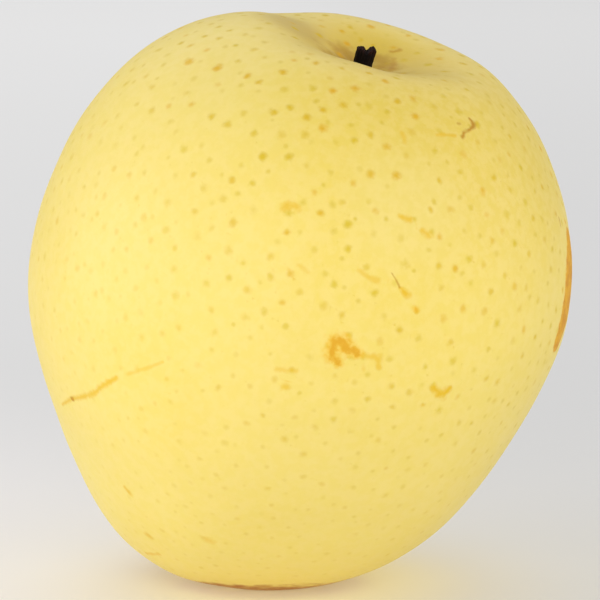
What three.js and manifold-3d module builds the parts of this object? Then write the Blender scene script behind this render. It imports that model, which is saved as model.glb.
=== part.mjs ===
// A nashi pear as picked, resting on a table: the round yellow fruit, and the short dark stub of its stalk.
// Millimetres, +Z up. The fruit is shaped about its own core, which runs along Z with the stalk on top. It is then
// leaned, and set down so that its resting spot lies on Z = 0 with the middle of its outline over the origin.
import * as THREE from "three";
import { mergeVertices } from "three/addons/utils/BufferGeometryUtils.js";
import Module from "manifold-3d";

const wasm = await Module();
wasm.setup();

// The fruit is about 82 mm across and 87 mm tall as it rests.
const MEAN_RADIUS = 42.8;

// Waves that run along each meridian, as { k, height }: each adds height * cos(k * polar angle) to the radius.
// Wave 2 lengthens the fruit, wave 3 fills its shoulders and narrows its foot, and waves 4 and 5 trim its ends.
const ROUND_WAVES = [
  { k: 2, height: 3 },
  { k: 3, height: -1.35 },
  { k: 4, height: 0.25 },
  { k: 5, height: -0.1 },
];
// Waves that make the fruit lopsided: each adds height * sin(k * polar angle) on the +X side, and takes it off at -X.
const SIDE_WAVES = [
  { k: 2, height: 0.15 },
  { k: 3, height: 0.2 },
  { k: 4, height: 0.3 },
  { k: 5, height: -0.2 },
  { k: 6, height: 0.45 },
];
// The same between the back, at +Y, and the front.
const DEPTH_WAVES = [
  { k: 3, height: 0.25 },
  { k: 4, height: -0.2 },
];

// Soft ribs, one for each seed chamber, which show round the shoulders and round the foot.
const RIBS = { count: 5, height: 0.2, groove: radians(139) };

// The funnel that the stalk stands in, and the basin at the foot where the flower was.
const FUNNEL = { depth: 8, width: 11.6, x: 1.4, y: 0.2 };
const BASIN = { depth: 4.2, width: 8.5 };
// A furrow that leaves the funnel between two ribs and crosses the shoulder at the back left.
const FURROW = { depth: 1.2, azimuth: radians(128), from: 17, length: 7, width: 5.6 };
// The flower's corky scar in the basin: a raised ring round a small pit.
const SCAR = { ring: 3.4, height: 0.6, width: 1.1, pitDepth: 1.6, pitWidth: 1.7 };

// How the fruit leans as it rests: its core tips to the right and towards the front.
const LEAN_RIGHT = radians(15);
const LEAN_FORWARD = radians(10.8);
// How far the skin is pressed in where the fruit rests, which leaves a flat spot about 15 mm across.
const PRESSED = 0.8;

// The stalk's stub, snapped off short, with a cleft across its end.
const STALK = { radius: 1.4, tipRadius: 1.5, rise: 3.2, sunk: 2.2, x: 0.2 };
const CLEFT = { width: 1.4, depth: 0.75 };
const SOCKET_GAP = 0.3;

const SKIN_SEGMENTS = 72;
const SKIN_ROWS = 50;
// How strongly the rows of the skin crowd towards the two ends, where it curves most: 0 is even, 0.5 is the most.
const ROW_CROWDING = 0.3;
const STALK_SEGMENTS = 24;

function radians(degrees) {
  return THREE.MathUtils.degToRad(degrees);
}

// A bell: 1 at the middle, 0.37 one width away.
function bell(distance, width) {
  return Math.exp(-((distance / width) ** 2));
}

function sumOfWaves(waves, trig, angle) {
  return waves.reduce((sum, wave) => sum + wave.height * trig(wave.k * angle), 0);
}

// The skin's radius at a polar angle from the stalk and an azimuth from +X, before its two ends are pressed in.
function skinRadius(polar, azimuth) {
  const round = sumOfWaves(ROUND_WAVES, Math.cos, polar);
  const side = sumOfWaves(SIDE_WAVES, Math.sin, polar) * Math.cos(azimuth);
  const depth = sumOfWaves(DEPTH_WAVES, Math.sin, polar) * Math.sin(azimuth);
  const rib = RIBS.height * Math.sin(2 * polar) ** 2 * Math.cos(RIBS.count * (azimuth - RIBS.groove));
  return MEAN_RADIUS + round + side + depth - rib;
}

// How far the stalk end of the skin drops at a place: the funnel, and the furrow that runs out of it.
function stalkEndDrop(x, y) {
  const funnel = FUNNEL.depth * bell(Math.hypot(x - FUNNEL.x, y - FUNNEL.y), FUNNEL.width);
  const along = x * Math.cos(FURROW.azimuth) + y * Math.sin(FURROW.azimuth) - FURROW.from;
  const across = y * Math.cos(FURROW.azimuth) - x * Math.sin(FURROW.azimuth);
  return funnel + FURROW.depth * bell(along, FURROW.length) * bell(across, FURROW.width);
}

// How far the flower end of the skin rises into the fruit: the basin, less the scar's ring, and the scar's pit.
function flowerEndRise(x, y) {
  const out = Math.hypot(x, y);
  const basin = BASIN.depth * bell(out, BASIN.width);
  return basin - SCAR.height * bell(out - SCAR.ring, SCAR.width) + SCAR.pitDepth * bell(out, SCAR.pitWidth);
}

function skinPoint(polar, azimuth) {
  const radius = skinRadius(polar, azimuth);
  const x = radius * Math.sin(polar) * Math.cos(azimuth);
  const y = radius * Math.sin(polar) * Math.sin(azimuth);
  const z = radius * Math.cos(polar);
  return new THREE.Vector3(x, y, z > 0 ? z - stalkEndDrop(x, y) : z + flowerEndRise(x, y));
}

// The skin as a closed mesh: a sphere's points, moved onto it. The sphere's own poles lie on Y, and these on Z.
function skinGeometry() {
  const geometry = new THREE.SphereGeometry(1, SKIN_SEGMENTS, SKIN_ROWS);
  const position = geometry.getAttribute("position");
  const point = new THREE.Vector3();
  for (let i = 0; i < position.count; i++) {
    point.fromBufferAttribute(position, i);
    const even = Math.acos(THREE.MathUtils.clamp(point.y, -1, 1));
    const polar = even - ROW_CROWDING * Math.sin(2 * even);
    point.copy(skinPoint(polar, Math.atan2(-point.z, point.x)));
    position.setXYZ(i, point.x, point.y, point.z);
  }
  return geometry;
}

// The height of the funnel's floor on the core, where the stalk joins the fruit.
const FUNNEL_FLOOR = skinPoint(0, 0).z;

// Turns a shape whose axis is Y to stand along the core, with its Y = 0 at the funnel's floor.
function ontoCore(geometry) {
  return geometry.rotateX(Math.PI / 2).translate(STALK.x, 0, FUNNEL_FLOOR);
}

function stalkGeometry() {
  const rim = 0.2;
  const profile = [
    new THREE.Vector2(0, -STALK.sunk),
    new THREE.Vector2(STALK.radius - rim, -STALK.sunk),
    new THREE.Vector2(STALK.radius, rim - STALK.sunk),
    new THREE.Vector2(STALK.radius, 0.3 * STALK.rise),
    new THREE.Vector2(STALK.tipRadius, STALK.rise - rim),
    new THREE.Vector2(STALK.tipRadius - rim, STALK.rise),
    new THREE.Vector2(0, STALK.rise),
  ];
  return ontoCore(new THREE.LatheGeometry(profile, STALK_SEGMENTS));
}

// A wedge that opens upwards and runs through the stalk's end from front to back.
function cleftGeometry() {
  const clear = 2 * STALK.tipRadius;
  const slope = CLEFT.width / 2 / CLEFT.depth;
  const wedge = new THREE.Shape([
    new THREE.Vector2(0, STALK.rise - CLEFT.depth),
    new THREE.Vector2(slope * (CLEFT.depth + 1), STALK.rise + 1),
    new THREE.Vector2(-slope * (CLEFT.depth + 1), STALK.rise + 1),
  ]);
  const geometry = new THREE.ExtrudeGeometry(wedge, { depth: 2 * clear, bevelEnabled: false, steps: 1 });
  return ontoCore(geometry.translate(0, 0, -clear));
}

// The hole that the stalk stands in, which is a little wider and deeper than the stalk.
function socketGeometry() {
  const bottom = -STALK.sunk - SOCKET_GAP;
  const height = STALK.rise - bottom;
  const radius = STALK.radius + SOCKET_GAP;
  const geometry = new THREE.CylinderGeometry(radius, radius, height, STALK_SEGMENTS);
  return ontoCore(geometry.translate(0, bottom + height / 2, 0));
}

const lean = new THREE.Matrix4().makeRotationFromEuler(new THREE.Euler(LEAN_FORWARD, LEAN_RIGHT, 0, "XYZ"));

// A closed mesh as a solid that can be cut.
function solid(geometry) {
  geometry.deleteAttribute("normal");
  geometry.deleteAttribute("uv");
  const merged = mergeVertices(geometry, 1e-4);
  const vertProperties = new Float32Array(merged.getAttribute("position").array);
  const triVerts = new Uint32Array(merged.index.array);
  return new wasm.Manifold(new wasm.Mesh({ numProp: 3, vertProperties, triVerts }));
}

function geometryOf(cutSolid) {
  const { vertProperties, triVerts } = cutSolid.getMesh();
  const geometry = new THREE.BufferGeometry();
  geometry.setAttribute("position", new THREE.BufferAttribute(vertProperties, 3));
  geometry.setIndex(new THREE.BufferAttribute(triVerts, 1));
  geometry.computeVertexNormals();
  return geometry;
}

// A block that holds everything above a height.
function blockAbove(height) {
  const size = 4 * MEAN_RADIUS;
  return new THREE.BoxGeometry(size, size, size).translate(0, 0, height + size / 2);
}

const skin = skinGeometry().applyMatrix4(lean);
skin.computeBoundingBox();
const tableHeight = skin.boundingBox.min.z + PRESSED;
const socket = solid(socketGeometry().applyMatrix4(lean));
const fruitSolid = solid(skin).intersect(solid(blockAbove(tableHeight))).subtract(socket);

const cleft = solid(cleftGeometry().applyMatrix4(lean));
const stalkSolid = solid(stalkGeometry().applyMatrix4(lean)).subtract(cleft);

const fruitMaterial = new THREE.MeshStandardMaterial({ color: 0xf0d66c, roughness: 0.5, metalness: 0 });
const fruit = new THREE.Mesh(geometryOf(fruitSolid), fruitMaterial);
fruit.name = "fruit";

const stemMaterial = new THREE.MeshStandardMaterial({ color: 0x1d130b, roughness: 0.85, metalness: 0 });
const stem = new THREE.Mesh(geometryOf(stalkSolid), stemMaterial);
stem.name = "stem";

const middle = skin.boundingBox.getCenter(new THREE.Vector3());
const pear = new THREE.Group();
for (const piece of [fruit, stem]) {
  piece.position.set(-middle.x, -middle.y, -tableHeight);
  pear.add(piece);
}

export default pear;
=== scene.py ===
"""A nashi pear as picked: its skin, fine enough to show how uneven it is, and the dry stub of its stalk.

Both are worked out in the fruit's own frame, in millimetres, with the core along Z and the stalk on top. The
skin follows the formula of its solid, and the stub has the sizes of its own. They are then leaned and set
down where the solids stand. A place on the skin is a polar angle from the stalk and an azimuth from +X, in
degrees.
"""
import math

import bpy
import numpy as np
from mathutils import Matrix, Vector


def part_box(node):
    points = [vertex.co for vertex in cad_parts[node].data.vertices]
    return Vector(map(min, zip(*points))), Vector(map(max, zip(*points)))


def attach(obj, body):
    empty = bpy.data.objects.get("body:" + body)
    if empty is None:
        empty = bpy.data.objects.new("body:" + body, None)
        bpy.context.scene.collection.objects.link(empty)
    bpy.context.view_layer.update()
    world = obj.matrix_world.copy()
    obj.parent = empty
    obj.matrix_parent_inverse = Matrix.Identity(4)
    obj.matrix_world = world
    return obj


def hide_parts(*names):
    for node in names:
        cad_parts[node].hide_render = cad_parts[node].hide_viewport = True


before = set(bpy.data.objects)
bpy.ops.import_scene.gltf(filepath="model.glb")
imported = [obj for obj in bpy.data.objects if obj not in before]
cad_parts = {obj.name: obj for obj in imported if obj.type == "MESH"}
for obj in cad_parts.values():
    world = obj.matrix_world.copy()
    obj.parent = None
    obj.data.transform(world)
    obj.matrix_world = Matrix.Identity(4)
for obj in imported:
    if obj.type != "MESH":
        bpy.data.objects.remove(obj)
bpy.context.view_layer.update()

MM = 0.001

# The form of the fruit and its stalk, in millimetres and degrees: the same values as the solids'.
MEAN_RADIUS = 42.8
ROUND_WAVES = {2: 3.0, 3: -1.35, 4: 0.25, 5: -0.1}
SIDE_WAVES = {2: 0.15, 3: 0.2, 4: 0.3, 5: -0.2, 6: 0.45}
DEPTH_WAVES = {3: 0.25, 4: -0.2}
RIB_COUNT, RIB_HEIGHT, RIB_GROOVE = 5, 0.2, 139.0
FUNNEL_DEPTH, FUNNEL_WIDTH, FUNNEL_X, FUNNEL_Y = 8.0, 11.6, 1.4, 0.2
FURROW_DEPTH, FURROW_AZIMUTH, FURROW_FROM, FURROW_LENGTH, FURROW_WIDTH = 1.2, 128.0, 17.0, 7.0, 5.6
BASIN_DEPTH, BASIN_WIDTH = 4.2, 8.5
SCAR_RING, SCAR_HEIGHT, SCAR_WIDTH, SCAR_PIT_DEPTH, SCAR_PIT_WIDTH = 3.4, 0.6, 1.1, 1.6, 1.7
LEAN_RIGHT, LEAN_FORWARD = 15.0, 10.8
PRESSED = 0.8
STALK_RADIUS, STALK_TIP_RADIUS, STALK_RISE, STALK_SUNK, STALK_X = 1.4, 1.5, 3.2, 2.2, 0.2
CLEFT_WIDTH, CLEFT_DEPTH = 1.4, 0.75

# The skin's relief, in millimetres: creases round the stalk, cracks and lumps on the flower's scar, healed
# marks that stand proud, and a swelling of the funnel's near lip.
CREASES, CREASE_HEIGHT, CREASES_OUT, CREASES_WIDTH = 13, 0.07, 4.0, 2.0
CRACKS, CRACK_HEIGHT, CRACKS_WIDTH = 10, 0.16, 1.2
LUMPS, LUMP_HEIGHT, LUMPS_OUT, LUMPS_WIDTH = 5, 0.2, 1.5, 1.0
CORKY_HEIGHT, RUB_HEIGHT = 0.16, 0.25
LIP, LIP_HEIGHT, LIP_WIDTH = (13.5, 264.0), 0.33, 3.2

# The stub's torn end, in millimetres. The tear follows the cleft, a little right of the stub's middle, and a
# share of its half width is level. The prong right of it stands higher, as far as its edge. Torn fibres cover
# both, and the rim is rounded and set in by a share of its radius.
TEAR_X, TEAR_DEPTH, TEAR_HALF_WIDTH, TEAR_LEVEL = 0.15, 0.6 * CLEFT_DEPTH, 0.4 * CLEFT_WIDTH, 0.2
PRONG_RISE, PRONG_DROP, PRONG_SLOPE, PRONG_EDGE = 0.42, 0.3, 0.3, 0.95
FIBRE_HEIGHT, RIM_ROUNDING, RIM_INSET = 0.07, 0.12, 0.03
# The stub's side: where up it the flare begins, its ridges and knots, and how much it is drawn in for them.
FLARE_FROM = 0.55
RIDGE_HEIGHT, FINE_RIDGE_HEIGHT, KNOT_HEIGHT, DRAWN_IN = 0.045, 0.03, 0.04, 0.05

# How fine the two meshes are. Rows crowd towards both ends of the fruit, where it curves most.
SKIN_COLUMNS, SKIN_ROWS, ROW_CROWDING = 372, 260, 0.12
STALK_COLUMNS, STALK_SIDE_ROWS, STALK_END_ROWS = 120, 60, 26


def bell(distance, width):
    """1 in the middle, falling off as exp(-(distance / width) ** 2)."""
    return np.exp(-((distance / width) ** 2))


def skin_radius(polar, azimuth):
    """The mean radius, and waves h cos(k polar), h sin(k polar) cos(azimuth) and h sin(k polar) sin(azimuth).

    The ribs, h sin(2 polar) ** 2 cos(count * (azimuth - groove)), come off it. They fade at the ends and
    round the middle.
    """
    radius = MEAN_RADIUS + sum(h * np.cos(k * polar) for k, h in ROUND_WAVES.items())
    radius = radius + np.cos(azimuth) * sum(h * np.sin(k * polar) for k, h in SIDE_WAVES.items())
    radius = radius + np.sin(azimuth) * sum(h * np.sin(k * polar) for k, h in DEPTH_WAVES.items())
    turn = RIB_COUNT * (azimuth - math.radians(RIB_GROOVE))
    return radius - RIB_HEIGHT * np.sin(2 * polar) ** 2 * np.cos(turn)


def stalk_end_drop(x, y):
    """The funnel, a round bell off the core, and the furrow, a long bell that leaves it at one azimuth."""
    funnel = FUNNEL_DEPTH * bell(np.hypot(x - FUNNEL_X, y - FUNNEL_Y), FUNNEL_WIDTH)
    cos, sin = math.cos(math.radians(FURROW_AZIMUTH)), math.sin(math.radians(FURROW_AZIMUTH))
    along, across = x * cos + y * sin - FURROW_FROM, y * cos - x * sin
    return funnel + FURROW_DEPTH * bell(along, FURROW_LENGTH) * bell(across, FURROW_WIDTH)


def flower_end_rise(x, y):
    """The basin, a bell on the core, less the ring of the flower's scar, plus the pit inside the ring."""
    out = np.hypot(x, y)
    ring = SCAR_HEIGHT * bell(out - SCAR_RING, SCAR_WIDTH)
    return BASIN_DEPTH * bell(out, BASIN_WIDTH) - ring + SCAR_PIT_DEPTH * bell(out, SCAR_PIT_WIDTH)


def skin_points(polar, azimuth):
    """Points at the skin's radius, with the stalk end dropped and the flower end raised along the core."""
    radius = skin_radius(polar, azimuth)
    x = radius * np.sin(polar) * np.cos(azimuth)
    y = radius * np.sin(polar) * np.sin(azimuth)
    z = radius * np.cos(polar)
    z = np.where(z > 0, z - stalk_end_drop(x, y), z + flower_end_rise(x, y))
    return np.stack([x, y, z], -1)


def on_skin(polar, azimuth):
    """The skin's point at one polar angle and azimuth, both in degrees."""
    return skin_points(np.radians(polar), np.radians(azimuth))


# The two ends of the core, each as a polar angle and an azimuth.
STALK_END, FLOWER_END = (0.0, 0.0), (180.0, 0.0)


# The lean, as a matrix: right about Y first, then forward about X.
LEAN = np.array(
    Matrix.Rotation(math.radians(LEAN_FORWARD), 3, "X") @ Matrix.Rotation(math.radians(LEAN_RIGHT), 3, "Y")
)


def skin_grid(columns, rows):
    """Polar angles and azimuths of the skin's rings, one row each, without the two ends."""
    even = np.arange(1, rows + 1) / (rows + 1) * math.pi
    polar = even - ROW_CROWDING * np.sin(2 * even)
    azimuth = np.arange(columns) / columns * 2 * math.pi
    return np.meshgrid(polar, azimuth, indexing="ij")


def find_core():
    """Where the fruit's own origin lies in the row, in metres: its leaned box is set on the solid's box."""
    low, high = (np.array(corner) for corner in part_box("fruit"))
    leaned = skin_points(*skin_grid(SKIN_COLUMNS, SKIN_ROWS)).reshape(-1, 3) @ LEAN.T * MM
    middle = (low + high) / 2 - (leaned.min(0) + leaned.max(0)) / 2
    return np.array([middle[0], middle[1], low[2] - leaned[:, 2].min() - PRESSED * MM])


CORE = find_core()


def to_row(points):
    """Points of the fruit's frame, in millimetres, as points of the row, in metres."""
    return points @ LEAN.T * MM + CORE


def closed_mesh(name, first, rings, last):
    """A closed mesh of rings of points between two end points, with faces out where the rings run down."""
    rows, columns = rings.shape[:2]
    vertices = np.vstack([first, rings.reshape(-1, 3), last])
    ring = 1 + np.arange(rows)[:, None] * columns
    this, following = np.arange(columns), np.roll(np.arange(columns), -1)
    upper, lower = ring[:-1], ring[1:]
    sides = np.stack([upper + this, lower + this, lower + following, upper + following], -1).reshape(-1, 4)
    top = np.stack([np.zeros(columns, int), ring[0] + this, ring[0] + following], -1)
    bottom = np.stack([np.full(columns, len(vertices) - 1), ring[-1] + following, ring[-1] + this], -1)
    mesh = bpy.data.meshes.new(name)
    mesh.from_pydata(vertices.tolist(), [], top.tolist() + sides.tolist() + bottom.tolist())
    mesh.shade_smooth()
    return mesh


def add_piece(name, mesh, material, node):
    """A piece that stands for a solid, takes the finish it is given, and goes with the fruit's one body."""
    piece = bpy.data.objects.new(name, mesh)
    bpy.context.scene.collection.objects.link(piece)
    mesh.materials.append(material)
    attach(piece, "root")
    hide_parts(node)
    return piece


# Skin


def unevenness(points, seed=4, count=28, shortest=9.0, longest=34.0, height=0.11):
    """A sum of plane waves in random directions, with wavelengths in millimetres. Long waves are highest."""
    draw = np.random.default_rng(seed)
    total = np.zeros(points.shape[:-1])
    for wavelength in np.geomspace(shortest, longest, count):
        direction = draw.normal(size=3)
        direction /= np.linalg.norm(direction)
        phase = draw.uniform(0, 2 * math.pi)
        wave = np.sin(points @ direction * 2 * math.pi / wavelength + phase)
        total += wave * (wavelength / longest) ** 0.7
    return total * height / math.sqrt(count / 2)


def end_relief(points, azimuth):
    """Fine folds round both ends: cos(count * azimuth), made uneven, times a bell of the distance out."""
    out = np.hypot(points[..., 0], points[..., 1])
    creases = np.cos(CREASES * azimuth + 0.8 * np.sin(3 * azimuth)) * bell(out - CREASES_OUT, CREASES_WIDTH)
    cracks = np.cos(CRACKS * azimuth + 1.2 * np.sin(2 * azimuth)) * bell(out - SCAR_RING, CRACKS_WIDTH)
    lumps = np.cos(LUMPS * azimuth + 0.5) * bell(out - LUMPS_OUT, LUMPS_WIDTH)
    at_flower = CRACK_HEIGHT * cracks + LUMP_HEIGHT * lumps
    return np.where(points[..., 2] > 0, CREASE_HEIGHT * creases, at_flower)


def path_points(path):
    """The points on the skin of a path of (polar, azimuth, half width) steps."""
    return np.array([on_skin(polar, azimuth) for polar, azimuth, _ in path])


def by_path(points, outward, path):
    """Where points lie by a path: how far off, its half width there, and (across, past its end), in mm.

    Across has a sign, by side, and so has past, by end, so that both run on evenly over the path and its
    ends.
    """
    steps = path_points(path)
    widths = [width for _, _, width in path]
    far = np.full(points.shape[:-1], np.inf)
    half_width, place = far.copy(), np.zeros((*far.shape, 2))
    for i, (start, end) in enumerate(zip(steps[:-1], steps[1:])):
        stroke = end - start
        length = np.linalg.norm(stroke)
        share = (points - start) @ stroke / length**2
        on = np.clip(share, 0, 1)
        away = np.linalg.norm(points - start - on[..., None] * stroke, axis=-1)
        side = np.sum(np.cross(outward, stroke / length) * (points - start), axis=-1)
        ended = (share < 0) & (i == 0) | (share > 1) & (i == len(steps) - 2)
        past = np.where(ended, (share - on) * length, 0)
        across = np.where(ended, side, np.sign(side) * away)
        nearer = away < far
        far = np.where(nearer, away, far)
        half_width = np.where(nearer, widths[i] + (widths[i + 1] - widths[i]) * on, half_width)
        place = np.where(nearer[..., None], np.stack([across, past], -1), place)
    return far, half_width, place


def mark_height(points, outward, marks):
    """The strength of the strongest mark at each point, falling off as a bell of the half width."""
    heights = []
    for strength, path in marks:
        far, half_width, _ = by_path(points, outward, path)
        heights.append(strength * bell(far, half_width))
    return np.max(heights, axis=0)


# The least gap in millimetres, about one face of the skin, over which numbers of its points may change, and
# how far from a mark's path, in half widths, its ragged edge may reach.
CHANGE_GAP = 0.65
RAGGED_REACH = 1.4


def clear_of_next(first, second):
    """1 where the nearest thing is much nearer than the next, and 0 where the two are about as near."""
    return np.clip((second - first - CHANGE_GAP) / CHANGE_GAP, 0, 1)


def mark_field(points, outward, marks):
    """Three numbers at each point: the place by the nearest mark, in half widths, and its strength.

    The strength falls to 0 well outside the mark and where the nearest mark changes, because the places don't
    run on from one mark to the next.
    """
    nearest = np.full(points.shape[:-1], np.inf)
    second = nearest.copy()
    field = np.zeros(points.shape)
    for strength, path in marks:
        far, half_width, place = by_path(points, outward, path)
        reach = RAGGED_REACH * half_width + 2 * CHANGE_GAP
        shown = strength * np.clip((reach - far) / CHANGE_GAP, 0, 1)
        value = np.concatenate([place / half_width[..., None], shown[..., None]], -1)
        field = np.where((far < nearest)[..., None], value, field)
        second = np.minimum(second, np.maximum(nearest, far))
        nearest = np.minimum(nearest, far)
    field[..., 2] *= clear_of_next(nearest, second)
    return field


# Marks on the skin, each as its strength and a path: polar angle and azimuth, and half its width in mm.
CORKY_MARKS = [
    (1.0, [
        (81.7, 276.6, 1.1), (80.6, 275.2, 1.7), (79.2, 274.4, 1.8), (77.8, 274.7, 1.8),
        (77.3, 275.9, 2.0), (78.2, 277.3, 2.0), (78.8, 278.8, 1.7), (79.2, 280.4, 1.0),
    ]),
    (0.85, [(68.7, 289.9, 0.8), (68.9, 290.1, 0.8)]),
]
GOLDEN_MARKS = [
    (1.0, [(84.0, 297.9, 0.9), (85.0, 299.6, 1.3), (85.6, 300.6, 1.2), (84.0, 301.9, 0.7)]),
    (1.0, [(65.2, 286.0, 0.5), (66.4, 287.6, 0.9)]),
    (0.45, [(92.6, 242.5, 0.35), (95.2, 239.5, 0.5), (97.5, 236.7, 0.5), (99.4, 234.0, 0.6)]),
    (0.85, [
        (99.9, 233.3, 0.5), (104.0, 229.2, 0.75), (107.8, 226.0, 0.8),
        (111.8, 220.3, 0.7), (114.2, 216.2, 0.6), (119.3, 209.0, 0.4),
    ]),
    (0.7, [
        (79.4, 280.9, 0.8), (79.6, 281.8, 0.95), (79.1, 282.9, 0.8), (79.0, 284.3, 0.9), (81.0, 284.8, 0.9),
    ]),
    (0.4, [(81.2, 281.7, 0.6), (82.0, 281.9, 0.6)]),
    (0.8, [(55.8, 256.8, 0.9), (55.0, 258.2, 1.2), (55.1, 259.8, 0.9)]),
    (0.8, [(51.9, 283.6, 0.6), (52.2, 286.3, 0.85)]),
    (0.8, [(53.9, 289.4, 0.75), (54.6, 291.4, 0.95)]),
    (0.6, [(63.4, 276.4, 0.6), (64.3, 278.8, 0.6), (64.5, 280.8, 0.7)]),
    (0.4, [(65.2, 263.8, 0.6), (66.0, 265.8, 0.6)]),
    (0.5, [(85.8, 265.2, 0.6), (85.2, 268.9, 0.7)]),
    (0.7, [(88.8, 267.6, 1.0), (88.8, 268.0, 1.0)]),
    (0.6, [(35.2, 283.5, 0.6), (37.0, 284.3, 0.7)]),
    (0.75, [(34.6, 296.0, 0.55), (34.5, 303.0, 0.55)]),
    (0.85, [(131.0, 232.6, 0.6), (132.2, 234.2, 0.8)]),
    (0.7, [(143.4, 238.0, 1.0), (143.6, 239.0, 1.0)]),
    (0.65, [(153.0, 232.2, 0.6), (149.6, 241.0, 0.6)]),
    (0.5, [(135.5, 259.6, 1.3), (135.5, 260.4, 1.3)]),
]
BROWN_MARKS = [
    (0.6, [(62.4, 283.1, 0.15), (64.0, 284.8, 0.28), (65.2, 285.8, 0.2)]),
    (0.95, [
        (30.8, 312.4, 0.4), (31.6, 313.3, 0.7), (32.6, 312.4, 0.6), (33.1, 310.4, 0.45),
        (33.4, 308.6, 0.45), (33.6, 307.2, 0.6), (34.8, 305.8, 0.55),
    ]),
    (0.7, [(32.0, 306.2, 0.5), (32.0, 307.0, 0.5)]),
    (0.85, [(114.0, 216.8, 0.55), (114.4, 216.0, 0.55)]),
    (0.5, [(54.0, 343.0, 0.45), (55.4, 342.9, 0.5)]),
    (0.6, [(10.7, 56.0, 0.7), (12.0, 52.8, 0.6)]),
    (0.45, [(9.0, 46.0, 0.7), (7.6, 33.0, 0.9), (6.2, 17.0, 1.0)]),
]
BRANCH_RUB = [
    (1.0, [
        (59.4, 348.6, 1.9), (62.5, 347.8, 3.3), (68.0, 345.6, 3.8), (73.6, 343.4, 3.5), (78.4, 340.2, 2.2),
    ]),
]
MARKS = {
    "corky marks": CORKY_MARKS,
    "golden marks": GOLDEN_MARKS,
    "brown marks": BROWN_MARKS,
    "branch rub": BRANCH_RUB,
}

# The largest corky dots, round the stalk: polar angle, azimuth, radius in mm, and tint, 0 olive to 1 orange.
LARGE_DOTS = [
    (38.2, 203.0, 1.25, 0.8), (35.5, 214.5, 1.3, 0.8), (34.0, 227.2, 0.95, 0.7), (34.3, 232.6, 0.9, 0.4),
    (29.5, 257.5, 0.95, 1.0), (27.0, 265.0, 1.15, 0.8), (32.2, 262.5, 0.95, 0.4), (34.8, 257.0, 0.95, 0.4),
    (37.5, 253.8, 1.1, 0.4), (38.8, 259.2, 1.2, 0.9), (39.0, 244.0, 1.1, 0.2), (36.8, 247.2, 0.95, 0.2),
    (39.2, 268.8, 0.9, 0.1), (38.8, 278.5, 1.05, 0.6), (44.2, 282.0, 0.95, 0.6), (27.8, 282.5, 0.9, 0.4),
    (26.3, 289.8, 1.0, 0.7), (30.8, 289.0, 1.0, 0.8), (46.5, 253.8, 0.95, 0.1), (48.2, 247.5, 0.95, 0.1),
    (29.5, 236.5, 0.9, 0.6), (45.0, 228.5, 0.95, 0.2), (16.8, 86.0, 1.0, 1.0), (9.0, 109.5, 0.9, 1.0),
    (13.0, 108.8, 0.9, 0.7), (11.0, 90.5, 0.9, 0.3), (10.5, 79.5, 0.9, 0.3), (14.8, 101.0, 1.1, 0.2),
    (11.2, 141.5, 0.9, 0.2), (14.3, 171.0, 0.9, 0.1), (15.2, 201.8, 0.9, 0.1), (22.8, 243.8, 0.9, 0.6),
    (21.4, 256.0, 0.8, 0.4), (20.0, 270.5, 0.8, 0.5), (5.4, 140.0, 1.0, 0.9),
]
LARGE_DOT_STRENGTH = 0.95
# The heights, in millimetres, between which the other dots grow larger, stronger and more orange.
DOTS_GROW = -30.0, 26.0
# Where dots are the faintest, and how far from there they begin to fade and are faintest, in millimetres.
FAINT_DOTS, FAINT_REACH = (88.0, 200.0), (52.0, 18.0)
# How much nearer than the next a dot has to be to show, in millimetres over the gap that a mark needs.
DOT_LEAD = 0.3


def scatter(draw, count, shake, apart):
    """Places evenly wound round the skin in a spiral, shaken, less those too close to an earlier one."""
    number = np.arange(count) + 0.5
    even = skin_points(np.arccos(1 - 2 * number / count), number * math.pi * (1 + math.sqrt(5)))
    x, y, z = (even + draw.normal(scale=shake, size=even.shape)).T
    places = skin_points(np.arctan2(np.hypot(x, y), z), np.arctan2(y, x))
    gaps = np.linalg.norm(places[:, None] - places, axis=-1)
    return places[~np.tril(gaps < apart, -1).any(axis=1)]


def smooth_step(value, start, end):
    """0 at start and 1 at end, by 3 t ** 2 - 2 t ** 3 between them, and level beyond them."""
    t = np.clip((value - start) / (end - start), 0, 1)
    return t * t * (3 - 2 * t)


def dot_rules(draw, places, small, large):
    """Radius, strength and tint of dots, each a value for the dot's height times a random share.

    A dot is larger, stronger and more orange near the stalk, and fainter on the pale side.
    """
    high = smooth_step(places[:, 2], *DOTS_GROW)
    faint = smooth_step(np.linalg.norm(places - on_skin(*FAINT_DOTS), axis=1), *FAINT_REACH)
    chance = draw.uniform(size=(3, len(places)))
    radius = (small + (large - small) * high) * (0.8 + 0.4 * chance[0])
    strength = (0.34 + 0.58 * high) * (0.45 + 0.55 * chance[1]) * (1 - 0.45 * faint)
    tint = chance[2] ** 2.5 * (0.3 + 0.7 * high)
    return radius, strength, tint


def scatter_clear(draw, taken, clear, count=2300, shake=0.6, apart=2.6):
    """Places scattered over the whole skin, less those too close to places already taken."""
    places = scatter(draw, count, shake, apart)
    gaps = np.linalg.norm(places[:, None] - taken, axis=-1).min(axis=1)
    return places[gaps > clear]


def make_dots(seed=7):
    """The skin's corky dots in two sets, bolder dots and fainter specks: places, radii, strengths and tints.

    The bolder ones are the large dots that have a place, and others scattered clear of them.
    """
    draw = np.random.default_rng(seed)
    large = np.array([on_skin(polar, azimuth) for polar, azimuth, _, _ in LARGE_DOTS])
    radius, tint = np.array([dot[2:] for dot in LARGE_DOTS]).T
    others = scatter_clear(draw, large, clear=2.6)
    radii, strengths, tints = dot_rules(draw, others, small=0.64, large=0.88)
    dots = (
        np.vstack([large, others]),
        np.concatenate([radius, radii]),
        np.concatenate([np.full(len(large), LARGE_DOT_STRENGTH), strengths]),
        np.concatenate([tint, tints]),
    )
    specks = scatter_clear(draw, dots[0], clear=1.3)
    return dots, (specks, *dot_rules(draw, specks, small=0.52, large=0.66))


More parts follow.
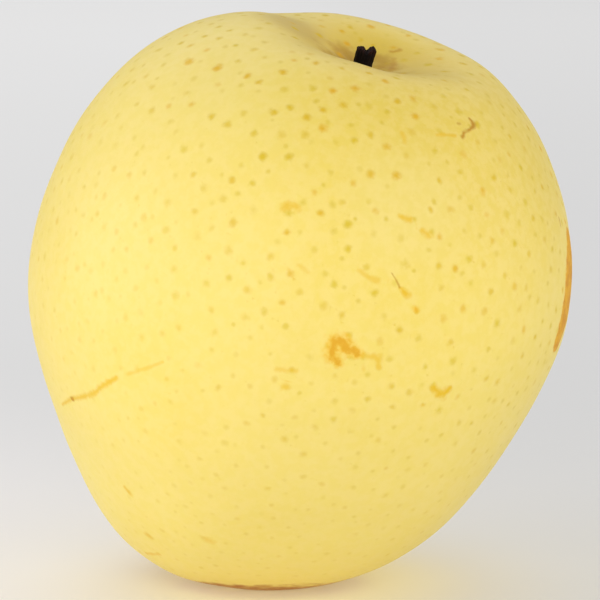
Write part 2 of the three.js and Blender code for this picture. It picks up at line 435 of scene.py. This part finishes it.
def dot_field(points, places, radii, strengths, tints):
    """At each point, the place by the nearest dot, in its radii, its strength, and apart from these its tint.

    Each place is measured along the skin, round the fruit and down it. The strength falls to 0 where the
    nearest dot changes, as it does for marks.
    """
    out = places / np.linalg.norm(places, axis=1, keepdims=True)
    round_fruit = np.cross([0.0, 0.0, 1.0], out)
    round_fruit /= np.linalg.norm(round_fruit, axis=1, keepdims=True)
    down = np.cross(round_fruit, out)
    field, tint = np.zeros(points.shape), np.zeros(points.shape[:-1])
    for row, ring in enumerate(points):
        squares = np.sum(ring**2, axis=1)[:, None] + np.sum(places**2, axis=1) - 2 * ring @ places.T
        nearest_two = np.argpartition(squares, 1, axis=1)[:, :2]
        gaps = np.sqrt(np.maximum(np.take_along_axis(squares, nearest_two, axis=1), 0))
        dot = nearest_two[:, 0]
        offset = (ring - places[dot]) / radii[dot, None]
        field[row, :, 0] = np.sum(offset * round_fruit[dot], axis=1)
        field[row, :, 1] = np.sum(offset * down[dot], axis=1)
        field[row, :, 2] = strengths[dot] * clear_of_next(gaps[:, 0] + DOT_LEAD, gaps[:, 1])
        tint[row] = tints[dot]
    return field, tint


def keep_on_mesh(mesh, name, values):
    """Keeps numbers on the skin's points: one or three for each point of its rings, and 0 on its two ends."""
    kind, key = ("FLOAT", "value") if values.ndim == 2 else ("FLOAT_VECTOR", "vector")
    flat = values.reshape(values.shape[0] * values.shape[1], -1)
    ends = np.zeros((1, flat.shape[1]))
    attribute = mesh.attributes.new(name, kind, "POINT")
    attribute.data.foreach_set(key, np.vstack([ends, flat, ends]).ravel())


def make_skin(material):
    """The fruit's skin, with its relief along its own radius, pressed flat where it rests."""
    polar, azimuth = skin_grid(SKIN_COLUMNS, SKIN_ROWS)
    smooth = skin_points(polar, azimuth)
    outward = smooth / np.linalg.norm(smooth, axis=-1, keepdims=True)
    relief = unevenness(smooth) + end_relief(smooth, azimuth)
    relief += CORKY_HEIGHT * mark_height(smooth, outward, CORKY_MARKS)
    relief += RUB_HEIGHT * mark_height(smooth, outward, BRANCH_RUB)
    relief += LIP_HEIGHT * bell(np.linalg.norm(smooth - on_skin(*LIP), axis=-1), LIP_WIDTH)
    rings = to_row(smooth + outward * relief[..., None])
    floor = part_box("fruit")[0].z
    rings[..., 2] = np.maximum(rings[..., 2], floor)
    mesh = closed_mesh("skin", to_row(on_skin(*STALK_END)), rings, to_row(on_skin(*FLOWER_END)))
    for name, marks in MARKS.items():
        keep_on_mesh(mesh, name, mark_field(smooth, outward, marks))
    dots, specks = make_dots()
    field, tint = dot_field(smooth, *dots)
    keep_on_mesh(mesh, "dots", field)
    keep_on_mesh(mesh, "dots tint", tint)
    speck_field, _ = dot_field(smooth, *specks)
    keep_on_mesh(mesh, "specks", speck_field)
    return add_piece("skin", mesh, material, "fruit")


# Stalk


def stalk_top(x, y):
    """The height of the snapped end: its rise, and the right prong, less the cleft, plus the torn fibres.

    The cleft falls off evenly to both sides of its level middle. The fibres are a product of two sines.
    """
    across = x - STALK_X - TEAR_X
    cleft = TEAR_DEPTH * np.clip(1 + TEAR_LEVEL - np.abs(across) / TEAR_HALF_WIDTH, 0, 1)
    prong = PRONG_RISE * np.clip(across / PRONG_SLOPE, 0, 1)
    prong = prong - PRONG_DROP * np.clip((across - PRONG_EDGE) / PRONG_SLOPE, 0, 1)
    fibres = FIBRE_HEIGHT * np.sin(9 * x + 2 * np.sin(5 * y)) * np.sin(8 * y + 1.0)
    return STALK_RISE + prong - cleft + fibres


def stalk_side_radius(share, angle):
    """The stub's radius up its side: straight, then wider towards the tip, with ridges and a few knots.

    Ridges are sines of the angle, and knots a sine of the angle times a sine of the share of the way up.
    """
    flare = (STALK_TIP_RADIUS - STALK_RADIUS) * np.clip((share - FLARE_FROM) / (1 - FLARE_FROM), 0, 1)
    ridges = RIDGE_HEIGHT * np.sin(9 * angle + 0.6 * np.sin(4 * share * math.pi))
    ridges = ridges + FINE_RIDGE_HEIGHT * np.sin(17 * angle + 2.0)
    knots = KNOT_HEIGHT * np.sin(3 * angle + 9 * share) * np.sin(7 * share * math.pi)
    return STALK_RADIUS + flare + (ridges + knots) * np.clip(share * 3, 0, 1) - DRAWN_IN


def make_stalk(material):
    """The stub of the stalk: rings of points that run out over its torn end and then down its side.

    On the side, each ring is raised a share of the way from the stub's foot to the rim of the torn end.
    """
    floor = on_skin(*STALK_END)[2]
    angle = np.arange(STALK_COLUMNS) / STALK_COLUMNS * 2 * math.pi

    def ring(radius, raised, rounding):
        x, y = STALK_X + radius * np.cos(angle), radius * np.sin(angle)
        height = (stalk_top(x, y) - rounding + STALK_SUNK) * raised - STALK_SUNK
        return np.stack([x, y, floor + height], -1)

    rings = []
    for share in np.arange(1, STALK_END_ROWS + 1) / STALK_END_ROWS:
        radius = (share - RIM_INSET * share**6) * stalk_side_radius(1.0, angle)
        rings.append(ring(radius, 1.0, RIM_ROUNDING * share**8))
    for share in np.linspace(1, 0, STALK_SIDE_ROWS)[1:]:
        rings.append(ring(stalk_side_radius(share, angle), share, RIM_ROUNDING))
    first = to_row(np.array([STALK_X, 0, floor + stalk_top(STALK_X, 0.0)]))
    last = to_row(np.array([STALK_X, 0, floor - STALK_SUNK]))
    mesh = closed_mesh("stalk", first, to_row(np.array(rings)), last)
    return add_piece("stalk", mesh, material, "stem")


# Materials


# The colours, as a screen shows them, from 0 to 255.
COLOURS = {
    "skin": (238, 216, 116),
    "skin low down": (238, 218, 118),
    "deep skin": (233, 206, 84),
    "dull skin": (224, 196, 82),
    # Pale skin, and a painted highlight in the same colour.
    "pale skin and painted highlight": (237, 218, 132),
    "mottling": (243, 222, 146),
    "funnel": (216, 184, 56),
    # Painted shade, in the crease where the furrow leaves the funnel.
    "crease": (180, 146, 58),
    "russet in the funnel": (184, 138, 44),
    "basin": (206, 178, 96),
    "flower's scar": (128, 96, 56),
    # A russet net round the flower end, and painted shade where the fruit meets the floor, in one colour.
    "russet net and painted shade at the foot": (178, 112, 30),
    "speck": (212, 182, 34),
    "olive dot": (212, 182, 22),
    "orange dot": (222, 168, 14),
    "golden mark": (228, 186, 36),
    "edge of a corky mark": (232, 184, 34),
    "middle of a corky mark": (216, 152, 24),
    "brown mark": (186, 132, 26),
    "lighter rub": (224, 168, 42),
    "darker rub": (210, 148, 38),
    "stalk": (8, 4, 3),
    "stalk's fibres": (22, 10, 7),
    "torn stalk": (46, 19, 13),
    # The paper, with painted shade: darker to the right and further back.
    "near paper on the left": (221, 217, 218),
    "near paper on the right": (189, 188, 187),
    "far paper on the left": (195, 195, 196),
    "far paper on the right": (186, 186, 187),
    "grain of the paper": (190, 188, 185),
    # The paper's painted glow: round the foot, all over, and at the foot.
    "glow round the foot": (192, 181, 156),
    "glow": (191, 190, 188),
    "glow at the foot": (224, 208, 146),
}

# The middles of patches of colour on the skin.
# The first of these is the middle of painted shade, in the crease where the furrow leaves the funnel.
CREASE_SHADE, RIPE_SIDE, DULL_SIDE = (15.0, 162.0), (36.0, 282.0), (31.0, 313.0)
# The second of these is the middle of a painted highlight, a paler patch on the shoulder.
PALE_SIDE, PAINTED_HIGHLIGHT = (52.0, 214.0), (49.0, 284.0)


def display(name):
    """A colour of the list as the linear colour that a shader takes."""
    channels = np.array(COLOURS[name]) / 255
    linear = np.where(channels > 0.04045, ((channels + 0.055) / 1.055) ** 2.4, channels / 12.92)
    return (*linear.tolist(), 1.0)


def set_inputs(tree, node, inputs):
    """Each named input takes a value, or what another node gives."""
    for name, value in inputs.items():
        if isinstance(value, bpy.types.NodeSocket):
            tree.links.new(value, node.inputs[name])
        else:
            node.inputs[name].default_value = value


def add_node(tree, kind, inputs, **settings):
    """The outputs of a new node with its settings made and its inputs set."""
    node = tree.nodes.new(kind)
    for name, value in settings.items():
        setattr(node, name, value)
    set_inputs(tree, node, inputs)
    return node.outputs


def numbers(tree, operation, first, second=0.0, clamp=False):
    """A sum, product or other operation on two numbers."""
    return add_node(tree, "ShaderNodeMath", {0: first, 1: second}, operation=operation, use_clamp=clamp)[0]


def vectors(tree, operation, first, second=(0, 0, 0)):
    """The vector and the number that an operation on two vectors gives."""
    outputs = add_node(tree, "ShaderNodeVectorMath", {0: first, 1: second}, operation=operation)
    return outputs[0], outputs[1]


def fade(tree, value, start, end, low=0.0, high=1.0):
    """Low before start and high after end, with a smooth step between. Start may be the larger of the two."""
    inputs = {"Value": value, "From Min": start, "From Max": end, "To Min": low, "To Max": high}
    return add_node(tree, "ShaderNodeMapRange", inputs, interpolation_type="SMOOTHSTEP")["Result"]


def mix(tree, share, first, second):
    """Two colours mixed: the first at 0 and the second at 1."""
    return add_node(tree, "ShaderNodeMix", {0: share, 6: first, 7: second}, data_type="RGBA")[2]


def clouds(tree, point, wavelength, detail=2.0, roughness=0.5):
    """A cloudy value round 0.5, with patches about as far apart as the wavelength."""
    inputs = {"Vector": point, "Scale": 1 / wavelength, "Detail": detail, "Roughness": roughness}
    return add_node(tree, "ShaderNodeTexNoise", inputs)[0]


def core_point(tree):
    """The place on the object in the fruit's own frame, in millimetres: moved and leaned back, and scaled."""
    inputs = {
        "Vector": add_node(tree, "ShaderNodeTexCoord", {})["Object"],
        "Location": CORE.tolist(),
        "Rotation": Matrix(LEAN.tolist()).to_euler("XYZ"),
        "Scale": (MM, MM, MM),
    }
    return add_node(tree, "ShaderNodeMapping", inputs, vector_type="TEXTURE")["Vector"]


def mesh_number(tree, name):
    """One of the numbers kept on the skin's points."""
    return add_node(tree, "ShaderNodeAttribute", {}, attribute_name=name)["Fac"]


def distance_from(tree, point, place):
    """How far a point is from a place on the skin, in millimetres."""
    _, distance = vectors(tree, "DISTANCE", point, tuple(on_skin(*place)))
    return distance


def patch(tree, point, place, reach, full, strength):
    """A round patch on the skin: 0 past its reach, and at its strength inside full, both in millimetres."""
    return fade(tree, distance_from(tree, point, place), reach, full, 0.0, strength)


def new_group(name, inputs, outputs):
    """An empty shader node group with the named sockets, and its two end nodes."""
    group = bpy.data.node_groups.new(name, "ShaderNodeTree")
    for socket, kind in inputs.items():
        group.interface.new_socket(name=socket, in_out="INPUT", socket_type=kind)
    for socket, kind in outputs.items():
        group.interface.new_socket(name=socket, in_out="OUTPUT", socket_type=kind)
    return group, group.nodes.new("NodeGroupInput").outputs, group.nodes.new("NodeGroupOutput").inputs


def make_spot_group():
    """A spot or mark: 1 near its middle and 0 at its edge, made ragged, times its strength.

    Field holds the place across and past the mark, in its half widths, and then the strength. Soft is how
    much of the half width the edge takes.
    """
    inputs = {"Field": "NodeSocketVector", "Ragged": "NodeSocketFloat", "Soft": "NodeSocketFloat"}
    group, given, wanted = new_group("spot", inputs, {"Mask": "NodeSocketFloat"})
    flat, _ = vectors(group, "MULTIPLY", given["Field"], (1.0, 1.0, 0.0))
    _, out = vectors(group, "LENGTH", flat)
    strength = add_node(group, "ShaderNodeSeparateXYZ", {"Vector": given["Field"]})["Z"]
    inner = numbers(group, "SUBTRACT", 1.0, given["Soft"])
    shape = fade(group, numbers(group, "ADD", out, given["Ragged"]), 1.0, inner)
    group.links.new(numbers(group, "MULTIPLY", shape, strength), wanted["Mask"])
    return group


SPOT = make_spot_group()


def spots(tree, name, ragged, soft):
    """The mask of one kind of mark or dot, from what the skin's points hold under its name."""
    node = tree.nodes.new("ShaderNodeGroup")
    node.node_tree = SPOT
    field = add_node(tree, "ShaderNodeAttribute", {}, attribute_name=name)["Vector"]
    set_inputs(tree, node, {"Field": field, "Ragged": ragged, "Soft": soft})
    return node.outputs["Mask"]


def new_material(name, **values):
    """A material with a Principled shader, and the values that are the same all over it."""
    material = bpy.data.materials.new(name)
    material.use_nodes = True
    shader = material.node_tree.nodes["Principled BSDF"]
    for socket, value in values.items():
        shader.inputs[socket.replace("_", " ")].default_value = value
    return material, material.node_tree, shader


def skin_ground(tree, point):
    """The skin's ground: deeper towards the stalk and on its ripe side, dull or pale in places, with a
    painted highlight on one shoulder, mottled.
    """
    height = add_node(tree, "ShaderNodeSeparateXYZ", {"Vector": point})["Z"]
    high = fade(tree, height, -20.0, 38.0, 0.0, 0.3)
    ripe = patch(tree, point, RIPE_SIDE, reach=38.0, full=8.0, strength=0.26)
    blots = fade(tree, clouds(tree, point, 17.0), 0.36, 0.66, 0.0, 0.2)
    deep = numbers(tree, "ADD", numbers(tree, "ADD", high, ripe), blots, clamp=True)
    colour = mix(tree, fade(tree, height, -8.0, -38.0), display("skin"), display("skin low down"))
    colour = mix(tree, deep, colour, display("deep skin"))
    dull = patch(tree, point, DULL_SIDE, reach=32.0, full=8.0, strength=0.62)
    colour = mix(tree, dull, colour, display("dull skin"))
    pale_side = patch(tree, point, PALE_SIDE, reach=36.0, full=8.0, strength=0.4)
    # Painted highlight: a paler patch on the shoulder, in the pale side's colour.
    painted_highlight = patch(tree, point, PAINTED_HIGHLIGHT, reach=13.0, full=3.0, strength=0.4)
    colour = mix(tree, numbers(tree, "ADD", pale_side, painted_highlight), colour, display("pale skin and painted highlight"))
    mottling = fade(tree, clouds(tree, point, 1.6, 3.0, 0.6), 0.35, 0.65, 0.0, 0.25)
    return mix(tree, mottling, colour, display("mottling"))


def add_russet(tree, point, colour):
    """The colour with russet and cork at both ends, painted shade in the funnel's crease and at the foot, and
    the mask of what lies at the ends.
    """
    from_stalk = distance_from(tree, point, STALK_END)
    from_flower = distance_from(tree, point, FLOWER_END)
    stray = fade(tree, clouds(tree, point, 3.0, 3.0), 0.25, 0.75, -2.2, 2.2)

    # In the funnel, with painted shade in the crease where the furrow leaves it, and in the basin.
    funnel = fade(tree, from_stalk, 20.0, 7.0, 0.0, 0.85)
    colour = mix(tree, funnel, colour, display("funnel"))
    # Painted shade in the crease.
    crease = patch(tree, point, CREASE_SHADE, reach=8.0, full=2.0, strength=0.45)
    colour = mix(tree, crease, colour, display("crease"))
    russet = fade(tree, numbers(tree, "ADD", from_stalk, stray), 8.5, 2.5, 0.0, 0.75)
    colour = mix(tree, russet, colour, display("russet in the funnel"))
    colour = mix(tree, fade(tree, from_flower, 15.0, 7.0, 0.0, 0.5), colour, display("basin"))
    cork = fade(tree, numbers(tree, "ADD", from_flower, stray), 7.5, 4.0, 0.0, 0.85)
    colour = mix(tree, cork, colour, display("flower's scar"))

    # Painted shade, mottled, on the spot that it rests on and just round it, and a broken russet net round
    # the flower end.
    place = add_node(tree, "ShaderNodeTexCoord", {})["Object"]
    height = add_node(tree, "ShaderNodeSeparateXYZ", {"Vector": place})["Z"]
    uneven = numbers(tree, "ADD", height, numbers(tree, "MULTIPLY", stray, 0.3 * MM))
    blots = clouds(tree, point, 2.4, 3.0, 0.6)
    low = fade(tree, uneven, 2.8 * MM, 1.0 * MM)
    foot_shade = numbers(tree, "MULTIPLY", low, fade(tree, blots, 0.25, 0.55, 0.45, 1.0))
    near_flower = fade(tree, from_flower, 17.0, 8.0, 0.0, 0.7)
    net = numbers(tree, "MULTIPLY", near_flower, fade(tree, blots, 0.4, 0.62))
    colour = mix(tree, numbers(tree, "MAXIMUM", foot_shade, net), colour, display("russet net and painted shade at the foot"))
    return colour, numbers(tree, "MAXIMUM", russet, cork)


def add_spots(tree, point, colour):
    """The colour with corky dots, fainter specks and healed marks on it, and the mask of what is corky."""
    ragged = fade(tree, clouds(tree, point, 0.9), 0.25, 0.75, -0.2, 0.2)
    specks = spots(tree, "specks", ragged, 1.0)
    colour = mix(tree, numbers(tree, "MULTIPLY", specks, 0.75), colour, display("speck"))
    dots = spots(tree, "dots", ragged, 1.0)
    tint = mix(tree, mesh_number(tree, "dots tint"), display("olive dot"), display("orange dot"))
    colour = mix(tree, numbers(tree, "MULTIPLY", dots, 0.9), colour, tint)

    colour = mix(tree, spots(tree, "golden marks", ragged, 1.0), colour, display("golden mark"))
    corky = spots(tree, "corky marks", ragged, 1.0)
    colour = mix(tree, numbers(tree, "MULTIPLY", corky, 0.9), colour, display("edge of a corky mark"))
    middle = fade(tree, corky, 0.5, 1.2, 0.0, 0.75)
    colour = mix(tree, middle, colour, display("middle of a corky mark"))
    brown = spots(tree, "brown marks", ragged, 0.9)
    colour = mix(tree, numbers(tree, "MULTIPLY", brown, 0.95), colour, display("brown mark"))
    rub = spots(tree, "branch rub", numbers(tree, "MULTIPLY", ragged, 0.3), 0.2)
    streaks = fade(tree, clouds(tree, point, 1.6, 3.0, 0.6), 0.4, 0.62)
    colour = mix(tree, rub, colour, mix(tree, streaks, display("lighter rub"), display("darker rub")))
    dots_and_corky = numbers(tree, "MAXIMUM", dots, corky)
    return colour, numbers(tree, "MAXIMUM", dots_and_corky, numbers(tree, "MAXIMUM", brown, rub))


def skin_material():
    """Thin yellow skin with russet, dots and marks. Cork is duller than skin, and stands a little proud."""
    material, tree, shader = new_material(
        "nashi skin", Subsurface_Weight=0.12, Subsurface_Scale=1.5 * MM, Specular_IOR_Level=0.35
    )
    shader.inputs["Subsurface Radius"].default_value = (1.0, 0.7, 0.25)
    point = core_point(tree)
    colour, russet = add_russet(tree, point, skin_ground(tree, point))
    colour, marked = add_spots(tree, point, colour)
    tree.links.new(colour, shader.inputs["Base Color"])
    dull = numbers(tree, "MAXIMUM", marked, russet)
    tree.links.new(fade(tree, dull, 0.0, 1.0, 0.5, 0.75), shader.inputs["Roughness"])
    grain = numbers(tree, "MULTIPLY", clouds(tree, point, 0.5), 0.3)
    proud = numbers(tree, "ADD", grain, numbers(tree, "MULTIPLY", marked, 0.4))
    bump = add_node(tree, "ShaderNodeBump", {"Height": proud, "Distance": 0.1 * MM, "Strength": 1.0})
    tree.links.new(bump["Normal"], shader.inputs["Normal"])
    return material


def stalk_material():
    """Dry wood, nearly black: fibres along the core, and redder brown where the end is torn."""
    material, tree, shader = new_material("dry stalk", Specular_IOR_Level=0.12)
    point = core_point(tree)
    height = add_node(tree, "ShaderNodeSeparateXYZ", {"Vector": point})["Z"]
    along, _ = vectors(tree, "MULTIPLY", point, (1.0, 1.0, 0.12))
    fibres = clouds(tree, along, 0.22, 4.0, 0.65)
    colour = mix(tree, fade(tree, fibres, 0.4, 0.7), display("stalk"), display("stalk's fibres"))
    tip = on_skin(*STALK_END)[2] + STALK_RISE
    torn = numbers(tree, "MULTIPLY", fade(tree, height, tip - 0.7, tip), fade(tree, fibres, 0.35, 0.6))
    colour = mix(tree, torn, colour, display("torn stalk"))
    tree.links.new(colour, shader.inputs["Base Color"])
    tree.links.new(fade(tree, fibres, 0.3, 0.7, 0.9, 0.7), shader.inputs["Roughness"])
    bump = add_node(tree, "ShaderNodeBump", {"Height": fibres, "Distance": 0.15 * MM, "Strength": 1.0})
    tree.links.new(bump["Normal"], shader.inputs["Normal"])
    return material


# Studio

# The camera aims a little to the right of the core's middle and below it. Places and sizes are in metres from
# here on, but for the lens and the sensor, which are in millimetres.
AIM = Vector((CORE[0] + 0.7 * MM, CORE[1], CORE[2] - 0.6 * MM))
CAMERA_AWAY, CAMERA_ABOVE, CAMERA_LENS, CAMERA_SENSOR = 0.45, math.radians(9.0), 178.74, 36.0
FLOOR_RADIUS, FLOOR_RINGS, FLOOR_COLUMNS, FLOOR_GAP = 3.0, 24, 96, 0.02 * MM


def aim_at(thing, target):
    """Turns a camera or a light to look at a point."""
    thing.rotation_euler = (target - thing.location).to_track_quat("-Z", "Y").to_euler()


def add_camera():
    """The camera, in front and a little above, with a long lens."""
    data = bpy.data.cameras.new("camera")
    data.lens, data.sensor_width, data.clip_start = CAMERA_LENS, CAMERA_SENSOR, 0.02
    camera = bpy.data.objects.new("camera", data)
    bpy.context.scene.collection.objects.link(camera)
    camera.location = AIM + CAMERA_AWAY * Vector((0, -math.cos(CAMERA_ABOVE), math.sin(CAMERA_ABOVE)))
    aim_at(camera, AIM)
    bpy.context.scene.camera = camera


def add_softbox(name, place, target, width, height, power):
    """A large soft white light. Places are in metres, and the power in watts."""
    data = bpy.data.lights.new(name, "AREA")
    data.shape, data.size, data.size_y, data.energy = "RECTANGLE", width, height, power
    light = bpy.data.objects.new(name, data)
    bpy.context.scene.collection.objects.link(light)
    light.location = place
    light.visible_camera = False
    aim_at(light, Vector(target))


def add_room(tint, strength):
    """Even light from the whole room."""
    world = bpy.data.worlds.new("studio")
    world.use_nodes = True
    background = world.node_tree.nodes["Background"]
    background.inputs["Color"].default_value = tint
    background.inputs["Strength"].default_value = strength
    bpy.context.scene.world = world


def paper_material():
    """Pale paper with a painted glow, most at the foot under the fruit, and painted shade to the right and
    back.
    """
    material, tree, shader = new_material("studio paper", Roughness=0.9, Emission_Strength=0.45)
    place = add_node(tree, "ShaderNodeTexCoord", {})["Object"]
    parts = add_node(tree, "ShaderNodeSeparateXYZ", {"Vector": place})
    # Painted shade: the paper is darker to the right and further back, and lightest near the front on the
    # left.
    to_right = fade(tree, parts["X"], -70 * MM, 70 * MM)
    near = mix(tree, to_right, display("near paper on the left"), display("near paper on the right"))
    far = mix(tree, to_right, display("far paper on the left"), display("far paper on the right"))
    colour = mix(tree, fade(tree, parts["Y"], -50 * MM, 200 * MM), near, far)
    grain = fade(tree, clouds(tree, place, 0.2), 0.3, 0.7, 0.0, 0.06)
    colour = mix(tree, grain, colour, display("grain of the paper"))
    tree.links.new(colour, shader.inputs["Base Color"])
    # Painted light: the paper glows faintly all over and most round the fruit's foot, where it lifts the
    # shadow under the fruit.
    _, from_foot = vectors(tree, "LENGTH", place)
    glow = mix(tree, fade(tree, from_foot, 16 * MM, 46 * MM), display("glow round the foot"), display("glow"))
    glow = mix(tree, fade(tree, from_foot, 30 * MM, 11 * MM), glow, display("glow at the foot"))
    tree.links.new(glow, shader.inputs["Emission Color"])
    return material


def make_floor():
    """A round sheet of paper under the fruit: rings of points, whose radius grows as their number squared."""
    share = (np.arange(1, FLOOR_RINGS + 1) / FLOOR_RINGS) ** 2
    angle = np.arange(FLOOR_COLUMNS) / FLOOR_COLUMNS * 2 * math.pi
    radius, turn = np.meshgrid(share * FLOOR_RADIUS, angle, indexing="ij")
    height = np.full(radius.shape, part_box("fruit")[0].z - FLOOR_GAP)
    rings = np.stack([radius * np.cos(turn), radius * np.sin(turn), height], -1)
    points = np.vstack([[0, 0, height[0, 0]], rings.reshape(-1, 3)])
    this, following = np.arange(FLOOR_COLUMNS), np.roll(np.arange(FLOOR_COLUMNS), -1)
    ring = 1 + np.arange(FLOOR_RINGS)[:, None] * FLOOR_COLUMNS
    middle = np.stack([np.zeros(FLOOR_COLUMNS, int), ring[0] + this, ring[0] + following], -1)
    inner, outer = ring[:-1], ring[1:]
    rest = np.stack([inner + this, outer + this, outer + following, inner + following], -1).reshape(-1, 4)

    mesh = bpy.data.meshes.new("floor")
    mesh.from_pydata(points.tolist(), [], middle.tolist() + rest.tolist())
    mesh.materials.append(paper_material())
    floor = bpy.data.objects.new("floor", mesh)
    bpy.context.scene.collection.objects.link(floor)


make_skin(skin_material())
make_stalk(stalk_material())
make_floor()
add_camera()
add_room(tint=(1.0, 1.0, 1.0, 1.0), strength=0.41)
add_softbox("left wall", (-1.2, -0.15, 0.35), AIM, width=1.0, height=0.7, power=6.3)
add_softbox("right wall", (1.2, -0.15, 0.35), AIM, width=1.0, height=0.7, power=4.7)
add_softbox("front wall", (0.0, -1.2, 0.32), AIM, width=1.8, height=0.6, power=9.4)
# The last light looks straight down, but for a hair.
add_softbox("background light", (0.0, 1.5, 1.3), (0.0, 1.5001, 0.0), width=2.6, height=1.6, power=16.0)
bpy.context.scene.view_settings.view_transform = "Standard"
